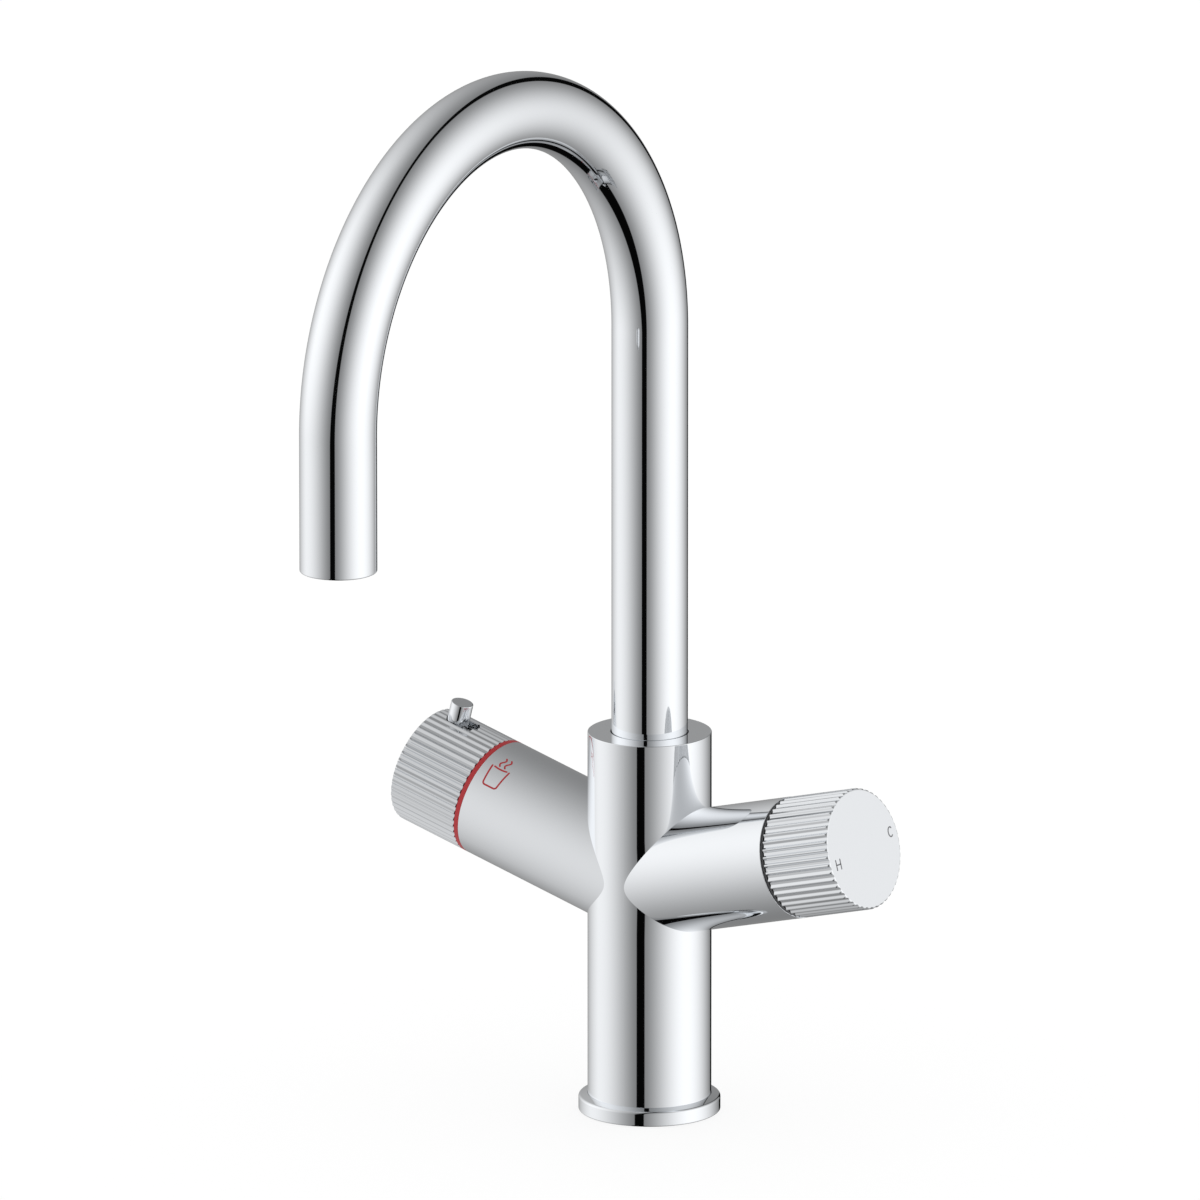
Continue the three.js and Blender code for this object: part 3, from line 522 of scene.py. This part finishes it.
def grub_screw(radius, tip, head, shoulder=None, tip_radius=None, around=96):
    """A headless screw along its axis, which narrows to its tip at the shoulder, if it has one. The socket's
    wall is a hexagon: at each angle its radius is half the width over flats / cos(the angle off the nearest
    flat's middle)."""
    angle = np.arange(around) * 2 * math.pi / around
    off_flat = (angle + math.pi / 6) % (math.pi / 3) - math.pi / 6
    key = key_share * radius / np.cos(off_flat)
    edge = edge_share * radius
    ends = [(0, tip), (radius - edge, tip), (radius, tip + edge)]
    if shoulder:
        ends = [(0, tip), (tip_radius, tip), (tip_radius, shoulder), (radius, shoulder)]
    outline = ends + [(radius, head - edge), (radius - edge, head)]
    outside = turned(outline, around)
    socket = np.stack([
        np.stack([share * key * np.cos(angle), share * key * np.sin(angle), level + 0 * angle], axis=-1)
        for share, level in ((1, head), (1, head - key_depth), (0, head - key_depth))
    ])
    return np.vstack([outside, socket])


screw_points = grub_screw(screw_radius, screw_tip, screw_head, screw_shoulder, screw_tip_radius)
screw_points = screw_points[..., [0, 2, 1]] + np.array([0, 0, screw_height])
fit("stop_screw", solid_mesh("stop_screw", [skin(screw_points)]), steel, "spout_screw")


def round_bit(radius, start, end, around):
    """A drill's shape on its own axis: a plain cylinder with flat ends."""
    return turned([(0, start), (radius, start), (radius, end), (0, end)], around)


hole = round_bit(screw_radius + play, screw_hole_start, screw_hole_end, 64)
hole = hole[..., [0, 2, 1]] + np.array([0, 0, screw_height])
drill(body, "screw_hole", solid_mesh("screw_hole", [skin(hole)]))


# ---------------------------------------------------------------------------------------------------------
# The valves, the child lock's collar and the spout's foot are out of sight: brass housings and stems, ceramic
# discs, rubber seals, a plastic glide ring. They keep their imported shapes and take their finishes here.
def dress(material, *nodes):
    """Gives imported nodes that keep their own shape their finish."""
    for node in nodes:
        mesh = frame["nodes"][node].data
        mesh.materials.clear()
        mesh.materials.append(material)


ceramic = finish("fired_ceramic", "ceramic", (0.72, 0.7, 0.64), 0.25, 0.05, 0.002)
grey_plastic = finish("grey_moulding", "grey_plastic", (0.3, 0.31, 0.32), 0.5, 0.1, 0.002)
for valve in ("boiling", "mixer"):
    dress(brass, f"{valve}_cartridge", f"{valve}_gland_nut", f"{valve}_spindle")
    dress(ceramic, f"{valve}_fixed_disc", f"{valve}_moving_disc")
    dress(rubber, f"{valve}_seal")
dress(brass, "spout_spigot", "lock_collar")
dress(rubber, "spout_oring_lower", "spout_oring_upper")
dress(grey_plastic, "glide_ring")

# ---------------------------------------------------------------------------------------------------------
# The rings between the arms and the knobs are plastic: a red one flush with the boiling arm, so that the hot
# side shows, and one that stands back from the mixer arm, as a shadow line. Its near-black colour is painted
# shade.
ring_bore = 0.0143
ring_side_play = 0.00003
red_ring_end = 0.0742
dark_ring_end, dark_ring_radius = 0.0696, 0.0217

red_plastic = finish("red_moulding", "red_plastic", (0.38, 0.015, 0.02), 0.3, 0.06, 0.004)
# The mixer side's ring is near black: painted shade for the shaded gap between arm and knob.
dark_plastic = finish("painted_shade_moulding", "dark_plastic", (0.05, 0.05, 0.052), 0.4, 0.1, 0.002)


def edge_ring(name, side, radius, end, material, node):
    """A plain ring on the arm's end, with edges just broken."""
    start = arm_reach[side] + ring_side_play
    outline = rounded([
        (ring_bore, start, crisp), (radius, start, crisp), (radius, end, crisp), (ring_bore, end, crisp),
    ], closed=True)
    mesh = solid_mesh(name, [skin(on_arm(side, turned(outline)), round_rows=True)])
    fit(name, mesh, material, node)


edge_ring("red_ring", boiling_side, arm_radius, red_ring_end, red_plastic, "boiling_ring")
edge_ring("dark_ring", mixer_side, dark_ring_radius, dark_ring_end, dark_plastic, "mixer_ring")

# ---------------------------------------------------------------------------------------------------------
# The knobs: deep cups of turned brass, chrome-plated, with fine flutes cut along them all round and an outer
# edge so rounded that the ridges fade out before the flat face. A boss inside takes the valve's stem.
boiling_knob_start, boiling_knob_length, boiling_flute_turn = 0.0747, 0.0296, 0.26
mixer_knob_start, mixer_knob_length, mixer_flute_turn = 0.0701, 0.0295, 0.45
knob_radius = 0.0223
flute_count = 48
flute_depth = 0.0008
ridge_reach = 0.375  # of a pitch, from a ridge's middle to the flat floor of the flute
flute_points = 48
edge_drop, edge_run = 0.00095, 0.0013  # of the rounded outer edge, towards the axis and along it
edge_rows = 9
start_edge = 0.00006
knob_bore = 0.019
knob_plate = 0.003
boss_radius, boss_length = 0.009, 0.016
stem_hole_radius, stem_hole_cover = 0.0053, 0.0005
flute_painted_shade = 0.87  # painted shade: the share of the plating's colour kept on the fluted side, against the face
face_margin, face_blend = 0.0001, 0.0002  # behind the face: where the painted shade ends, and its fade's length


def fluted(angle, turn):
    """The knob's radius at each angle: the knob radius on a ridge's middle, and from there half a cosine wave
    down to the floor, which lies the flute depth lower."""
    pitches = angle * flute_count / (2 * math.pi) - turn
    from_ridge = np.abs(pitches - np.round(pitches))
    wave = np.minimum(from_ridge / ridge_reach, 1)
    return knob_radius - flute_depth * (1 - np.cos(math.pi * wave)) / 2


def knob_mesh(name, side, start, length, turn):
    """A fluted cup. Its outside keeps the fluted radius along the arm and then turns in to the face on a
    quarter ellipse: radius = knob radius - drop (1 - cos t), along = face - run (1 - sin t), from the t at
    which that radius is the flute's own up to 90 degrees. The inside is turned."""
    around = flute_count * flute_points
    angle = np.arange(around) * 2 * math.pi / around
    radius = fluted(angle, turn)
    face = start + length
    first = np.arccos(1 - (knob_radius - radius) / edge_drop)
    arc = first + np.linspace(0, 1, edge_rows)[:, None] * (math.pi / 2 - first)
    edge_radius = knob_radius - edge_drop * (1 - np.cos(arc))
    edge_along = face - edge_run * (1 - np.sin(arc))
    row_radius = np.vstack([radius - start_edge, radius, radius, edge_radius])
    row_along = np.vstack([
        np.full(around, start), np.full(around, start + start_edge), edge_along[0] - start_edge, edge_along,
    ])
    outside = np.stack([row_radius * np.cos(angle), row_radius * np.sin(angle), row_along], axis=-1)
    cap = turned([(knob_radius - edge_drop - start_edge, face), (0, face)], around)
    plate = face - knob_plate
    stem_hole_floor, boss_end = plate - stem_hole_cover, plate - boss_length
    hollow = turned([
        (0, stem_hole_floor), (stem_hole_radius, stem_hole_floor), (stem_hole_radius, boss_end),
        (boss_radius, boss_end), (boss_radius, plate), (knob_bore, plate), (knob_bore, start),
    ], around)
    points = np.vstack([hollow, outside, cap])
    return solid_mesh(name, [skin(on_arm(side, points))])


def chrome_with_painted_shade(name, side, face):
    """Chrome plate with shade painted into its colour: a little darker on the knob's fluted side than on its
    face, for the shade between the flutes.
    """
    sine, cosine = math.sin(arm_tilt), math.cos(arm_tilt)

    def painted_shade(place):
        """The painted shade on the fluted side, and full brightness on the face. How far along the arm a
        place lies is the dot product with the arm's direction, of that place counted from where the arms'
        axes cross."""
        along = dot(place, (side * cosine, 0, sine)) - arm_height * sine
        on_front = step(along, face - face_margin - face_blend, face - face_margin)
        return flute_painted_shade + (1 - flute_painted_shade) * on_front

    return finish(name, "chrome", chrome_colour, *chrome_sheen, painted_shade, Metallic=1.0)


def knob(node, side, start, length, turn):
    """A knob's cup in its place, in its own finish, with shade painted on its flutes."""
    cup_mesh = knob_mesh(f"{node}_cup", side, start, length, turn)
    return fit(f"{node}_cup", cup_mesh, chrome_with_painted_shade(f"{node}_chrome", side, start + length), node)


boiling_knob = knob(
    "boiling_knob", boiling_side, boiling_knob_start, boiling_knob_length, boiling_flute_turn)
mixer_knob = knob("mixer_knob", mixer_side, mixer_knob_start, mixer_knob_length, mixer_flute_turn)

# ---------------------------------------------------------------------------------------------------------
# A small steel grub screw on each knob's underside clamps the boss to the stem. It sits deep in a plain hole
# through the knob's wall, where a key reaches it from below.
set_screw_radius = 0.002
set_screw_tip, set_screw_head = 0.0043, 0.0087  # below the arm's axis
past_wall = 0.03  # from an arm's axis, outside every knob
for name, side, cup, face in (
    ("boiling_knob", boiling_side, boiling_knob, boiling_knob_start + boiling_knob_length),
    ("mixer_knob", mixer_side, mixer_knob, mixer_knob_start + mixer_knob_length),
):
    place = face - knob_plate - boss_length / 2
    hole = round_bit(set_screw_radius + play, boss_radius / 2, past_wall, 48)
    hole = arm_point(side, hole[..., 0], -hole[..., 2], hole[..., 1] + place)
    drill(cup, "set_screw_hole", solid_mesh("set_screw_hole", [skin(hole)]))
    screw = grub_screw(set_screw_radius, set_screw_tip, set_screw_head)
    screw = arm_point(side, screw[..., 0], -screw[..., 2], screw[..., 1] + place)
    fit(f"{name}_grub", solid_mesh(f"{name}_grub", [skin(screw)]), steel, f"{name}_screw")

# ---------------------------------------------------------------------------------------------------------
# The child lock: a short chrome-plated pin that stands up through a round-ended slot in the boiling knob, on
# a steel slider inside. It is pushed along the slot, against a spring, before the knob can turn.
pin_radius = 0.00415
pin_foot, pin_top = 0.0187, 0.0289  # from the arm's axis
stud_radius, stud_foot = 0.0025, 0.0136
pin_inset = 0.0087  # of its axis, from the knob's face
lock_travel = 0.0046
pin_place = boiling_knob_start + boiling_knob_length - pin_inset
pin_fillet = 0.00035
slot_floor = 0.012  # from the arm's axis, inside the knob's hollow


def slot_bit(around=96):
    """A prism with round ends: the outline is a circle whose half towards the column is moved by the
    travel."""
    angle = np.arange(around) * 2 * math.pi / around
    front, along = (pin_radius + play) * np.cos(angle), (pin_radius + play) * np.sin(angle)
    along = np.where(np.sin(angle) < 0, along - lock_travel, along) + pin_place
    levels = np.array([slot_floor, slot_floor, past_wall, past_wall])[:, None]
    scale = np.array([0, 1, 1, 0])[:, None]
    middle = pin_place - lock_travel / 2
    return arm_point(boiling_side, scale * front, levels + 0 * front, middle + scale * (along - middle))


drill(boiling_knob, "lock_slot", solid_mesh("lock_slot", [skin(slot_bit())]))

pin_outline = rounded([
    (0, stud_foot, 0), (stud_radius, stud_foot, crisp), (stud_radius, pin_foot, crisp),
    (pin_radius, pin_foot, crisp), (pin_radius, pin_top, pin_fillet), (0, pin_top, 0),
])
pin_points = turned(pin_outline, 96)
pin_points = arm_point(boiling_side, pin_points[..., 0], pin_points[..., 2], pin_points[..., 1] + pin_place)
fit("lock_button", solid_mesh("lock_button", [skin(pin_points)]), chrome, "lock_pin")

# The slider and its spring show as a soft grey through the slot.
matt_steel = finish("matt_plated_steel", "steel", (0.6, 0.61, 0.62), 0.55, 0.1, 0.001, Metallic=0.2)
dress(matt_steel, "lock_slider", "lock_spring")

# ---------------------------------------------------------------------------------------------------------
# The spout: one tube of brass bent to a swan neck and chrome-plated. It rises from the column, goes over a
# half circle and ends in a short drop with a softly rounded rim.
pipe_radius = 0.014
pipe_wall = 0.0015
rim_fillet, rim_inner_fillet = 0.0006, 0.0005
arch_radius = 0.09875
arch_height = 0.2962
outlet_height = 0.2461
pipe_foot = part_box("spout_pipe")[0].z
spout_turn = math.radians(1.3)  # the spout as it stands, a touch off square
riser = arch_height - pipe_foot
pipe_run = riser + math.pi * arch_radius + arch_height - outlet_height
arch_stations = 150


def spout_point(run, radius, angle):
    """A point round the spout's middle line, `run` from the pipe's foot: up the riser, along the half
    circle and down the drop. radius cos(angle) points sideways, and radius sin(angle) away from the arch's
    centre."""
    arc = np.clip((run - riser) / arch_radius, 0, math.pi)
    rise = np.minimum(run, riser)
    drop = np.maximum(run - riser - math.pi * arch_radius, 0)
    outwards = arch_radius + radius * np.sin(angle)
    x = radius * np.cos(angle)
    y = outwards * np.cos(arc) - arch_radius
    z = pipe_foot + rise - drop + outwards * np.sin(arc)
    sine, cosine = math.sin(spout_turn), math.cos(spout_turn)
    return np.stack([x * cosine - y * sine, x * sine + y * cosine, z + 0 * x], axis=-1)


def fill_arch(outline):
    """Adds the half circle's stations to the two long sides of a closed outline of (radius, run)."""
    bend = riser + np.linspace(0, math.pi, arch_stations) * arch_radius
    filled = []
    for point, following in zip(outline, np.roll(outline, -1, axis=0)):
        filled.append(point[None])
        if abs(following[1] - point[1]) > math.pi * arch_radius:
            stations = bend if following[1] > point[1] else bend[::-1]
            filled.append(np.stack([np.full(arch_stations, point[0]), stations], axis=-1))
    return np.vstack(filled)


def on_spout(outline, around=128):
    """A ring of the outline's section round the spout's middle line."""
    angle = np.arange(around) * 2 * math.pi / around
    return spout_point(outline[:, 1:], outline[:, :1], angle)


pipe_outline = fill_arch(rounded([
    (pipe_radius, 0, soft), (pipe_radius, pipe_run, rim_fillet),
    (pipe_radius - pipe_wall, pipe_run, rim_inner_fillet), (pipe_radius - pipe_wall, 0, soft),
], closed=True))
pipe_mesh = solid_mesh("swan_neck", [skin(on_spout(pipe_outline), round_rows=True)])
fit("swan_neck", pipe_mesh, chrome, "spout_pipe")

# ---------------------------------------------------------------------------------------------------------
# The outlet, set back in the pipe's mouth: a chrome-plated holder with a turned-in lip, a grey plastic flow
# straightener with a ring of holes, and in its middle the separate nozzle of the boiling water's tube.
holder_inset = 0.0012  # of its end, in the pipe's mouth
holder_end = pipe_run - holder_inset
holder_radius = pipe_radius - pipe_wall - play
holder_wall, holder_length = 0.0017, 0.011
lip_height, lip_width = 0.0005, 0.0009
straightener_radius = holder_radius - holder_wall - play
straightener_length = 0.006
straightener_end = holder_end - lip_height - play
straightener_start = straightener_end - straightener_length
flow_hole_count, flow_hole_radius = 12, 0.0012
nozzle_radius, nozzle_bore = 0.0042, 0.0028
nozzle_reach = 0.0006  # past the holder's end
nozzle_fillet, nozzle_inner_fillet = 0.0005, 0.0003

tube_plastic = finish("milky_tube", "tube_plastic", (0.62, 0.6, 0.54), 0.45, 0.05, 0.002)
dress(tube_plastic, "inner_tube")

holder_bore = holder_radius - holder_wall
holder_outline = rounded([
    (holder_bore - lip_width, holder_end, crisp), (holder_radius, holder_end, soft),
    (holder_radius, holder_end - holder_length, crisp), (holder_bore, holder_end - holder_length, crisp),
    (holder_bore, holder_end - lip_height, crisp), (holder_bore - lip_width, holder_end - lip_height, crisp),
], closed=True)
holder_mesh = solid_mesh("outlet_holder", [skin(on_spout(holder_outline), round_rows=True)])
fit("outlet_holder", holder_mesh, chrome, "outlet_housing")

straightener_bore = nozzle_radius + play
plate_outline = rounded([
    (straightener_bore, straightener_end, soft), (straightener_radius, straightener_end, soft),
    (straightener_radius, straightener_start, soft), (straightener_bore, straightener_start, soft),
], closed=True)
plate_mesh = solid_mesh("straightener", [skin(on_spout(plate_outline), round_rows=True)])
straightener = fit("straightener", plate_mesh, grey_plastic, "flow_straightener")
bit = round_bit(flow_hole_radius, straightener_start - play, straightener_end + play, 24)
hole_circle = (straightener_bore + straightener_radius) / 2
bits = []
for hole_angle in np.arange(flow_hole_count) * 2 * math.pi / flow_hole_count:
    across = bit[..., 0] + hole_circle * math.cos(hole_angle)
    outwards = bit[..., 1] + hole_circle * math.sin(hole_angle)
    placed = spout_point(bit[..., 2], np.hypot(across, outwards), np.arctan2(outwards, across))
    bits.append(skin(placed))
drill(straightener, "flow_holes", solid_mesh("flow_holes", bits))

nozzle_start, nozzle_end = straightener_start, holder_end + nozzle_reach
nozzle_outline = rounded([
    (nozzle_bore, nozzle_end, nozzle_inner_fillet), (nozzle_radius, nozzle_end, nozzle_fillet),
    (nozzle_radius, nozzle_start, crisp), (nozzle_bore, nozzle_start, crisp),
], closed=True)
nozzle_mesh = solid_mesh("hot_nozzle", [skin(on_spout(nozzle_outline, 96), round_rows=True)])
fit("hot_nozzle", nozzle_mesh, chrome, "boiling_nozzle")


# ---------------------------------------------------------------------------------------------------------
# The hot sign: a plain steaming cup, printed in red enamel on the boiling arm next to its ring. Each stroke
# is a thin closed ribbon of enamel that stands a hair proud of the chrome.
def stroke(path, width, lift, place, stride=0.00012, end_points=7):
    """A flat ribbon along a path of (across, along) points, taken at equal strides and put on the piece by
    `place`. Its section is a rectangle square to the path, from one lift under the surface to one over it.
    Its half width is width / 2, and past either end of the path sqrt(1 - u^2) of that, so that both ends are
    half discs."""
    path = np.asarray(path, float)
    reach = np.concatenate([[0], np.cumsum(np.linalg.norm(np.diff(path, axis=0), axis=1))])
    stations = np.linspace(0, reach[-1], math.ceil(reach[-1] / stride) + 1)
    path = np.stack([np.interp(stations, reach, axis) for axis in path.T], axis=-1)
    tangent = np.gradient(path, axis=0)
    tangent = tangent / np.linalg.norm(tangent, axis=1, keepdims=True)
    u = np.sin(np.linspace(math.pi / 2, 0, end_points))[:-1, None]
    path = np.vstack([
        path[0] - u * tangent[0] * width / 2, path, path[-1] + u[::-1] * tangent[-1] * width / 2,
    ])
    half = np.vstack([np.sqrt(1 - u**2), np.ones((len(tangent), 1)), np.sqrt(1 - u[::-1]**2)]) * width / 2
    tangent = np.vstack([np.repeat(tangent[:1], len(u), 0), tangent, np.repeat(tangent[-1:], len(u), 0)])
    normal = np.stack([-tangent[:, 1], tangent[:, 0]], axis=-1) * half
    sides = np.stack([path - normal, path + normal, path + normal, path - normal], axis=1)
    levels = np.broadcast_to(np.array([-lift, -lift, lift, lift]), sides.shape[:2])
    ends = sides.mean(axis=1, keepdims=True)
    sides[0], sides[-1] = ends[0], ends[-1]
    return skin(place(sides[..., 0], sides[..., 1], levels * (half > 0)))


def sign(name, strokes, material, body):
    """A printed mark made of strokes, carried by one body."""
    mesh = solid_mesh(name, strokes, crease=math.radians(30), weld=1e-7)
    mesh.materials.append(material)
    mark = bpy.data.objects.new(name, mesh)
    bpy.context.scene.collection.objects.link(mark)
    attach(mark, body)


def on_arm_skin(around, along, level):
    """A point on the boiling arm's skin, from its arc length up from the arm's front, and along the arm."""
    angle = around / arm_radius
    radius = arm_radius + level
    return arm_point(boiling_side, radius * np.cos(angle), radius * np.sin(angle), along)


cup_base = arm_radius * math.radians(33.75)  # arc lengths up from the arm's front
cup_rim = arm_radius * math.radians(54.4)
cup_middle = 0.06485  # along the arm
base_half, rim_half = 0.0030, 0.00385
cup_corner = 0.0011
rim_gap, rim_sag = 0.0011, 0.0003  # left open at both ends of the rim's line, and how far it sags
sign_line, sign_lift = 0.00065, 0.00004
steam_gap, steam_height, steam_sway = 0.0009, 0.0042, 0.0006  # gap over the rim; a wisp's height and swing
steam_lines = (-0.00115, 0.00115)  # from the cup's middle

cup_wall = rounded([
    (cup_rim, cup_middle - rim_half, 0), (cup_base, cup_middle - base_half, cup_corner),
    (cup_base, cup_middle + base_half, cup_corner), (cup_rim, cup_middle + rim_half, 0),
])
rim_share = np.linspace(-1, 1, 13)
rim_line = np.stack([
    cup_rim - rim_sag * (1 - rim_share**2), cup_middle + (rim_half - rim_gap) * rim_share,
], axis=-1)
rise = np.linspace(0, 1, 25)
level, sway = cup_rim + steam_gap + steam_height * rise, steam_sway * np.sin(2 * math.pi * rise)
steam = [np.stack([level, cup_middle + x + sway], axis=-1) for x in steam_lines]
sign("hot_sign", [
    stroke(line, sign_line, sign_lift, on_arm_skin) for line in (cup_wall, rim_line, *steam)
], red_plastic, "tap")

# ---------------------------------------------------------------------------------------------------------
# The plain marks for hot and cold on the mixer knob's face: an H towards the front and a C towards the back,
# printed in thin grey lines and drawn here as the cup is.
mark_height, mark_width, mark_line = 0.0036, 0.0026, 0.0005
hot_mark_place = (-0.0167, -0.0024)  # from the face's middle, towards the back and up
cold_mark_place = (0.0176, 0.0025)
mixer_face = mixer_knob_start + mixer_knob_length


def on_face(back, up, level):
    """A point on the mixer knob's face, from how far it lies towards the back, and up."""
    return arm_point(mixer_side, -back, up, mixer_face + level)


def letter_h(x, y):
    """Two uprights and the bar between them."""
    left, right = x - mark_width / 2, x + mark_width / 2
    low, high = y - mark_height / 2, y + mark_height / 2
    share = np.linspace(0, 1, 5)[:, None]
    ends = [((left, low), (left, high)), ((right, low), (right, high)), ((left, y), (right, y))]
    return [np.array(start) + share * (np.array(end) - np.array(start)) for start, end in ends]


def letter_c(x, y):
    """An open oval: (x, y) + (half width cos(angle), half height sin(angle)), from 50 to 310 degrees."""
    angle = np.radians(np.linspace(50, 310, 31))
    return [np.stack([x + mark_width / 2 * np.cos(angle), y + mark_height / 2 * np.sin(angle)], axis=-1)]


print_grey = finish("grey_print", "dark_plastic", (0.16, 0.16, 0.17), 0.5, 0.1, 0.002)
for name, lines in (("hot_mark", letter_h(*hot_mark_place)), ("cold_mark", letter_c(*cold_mark_place))):
    strokes = [stroke(line, mark_line, sign_lift, on_face) for line in lines]
    sign(name, strokes, print_grey, "mixer_handle")
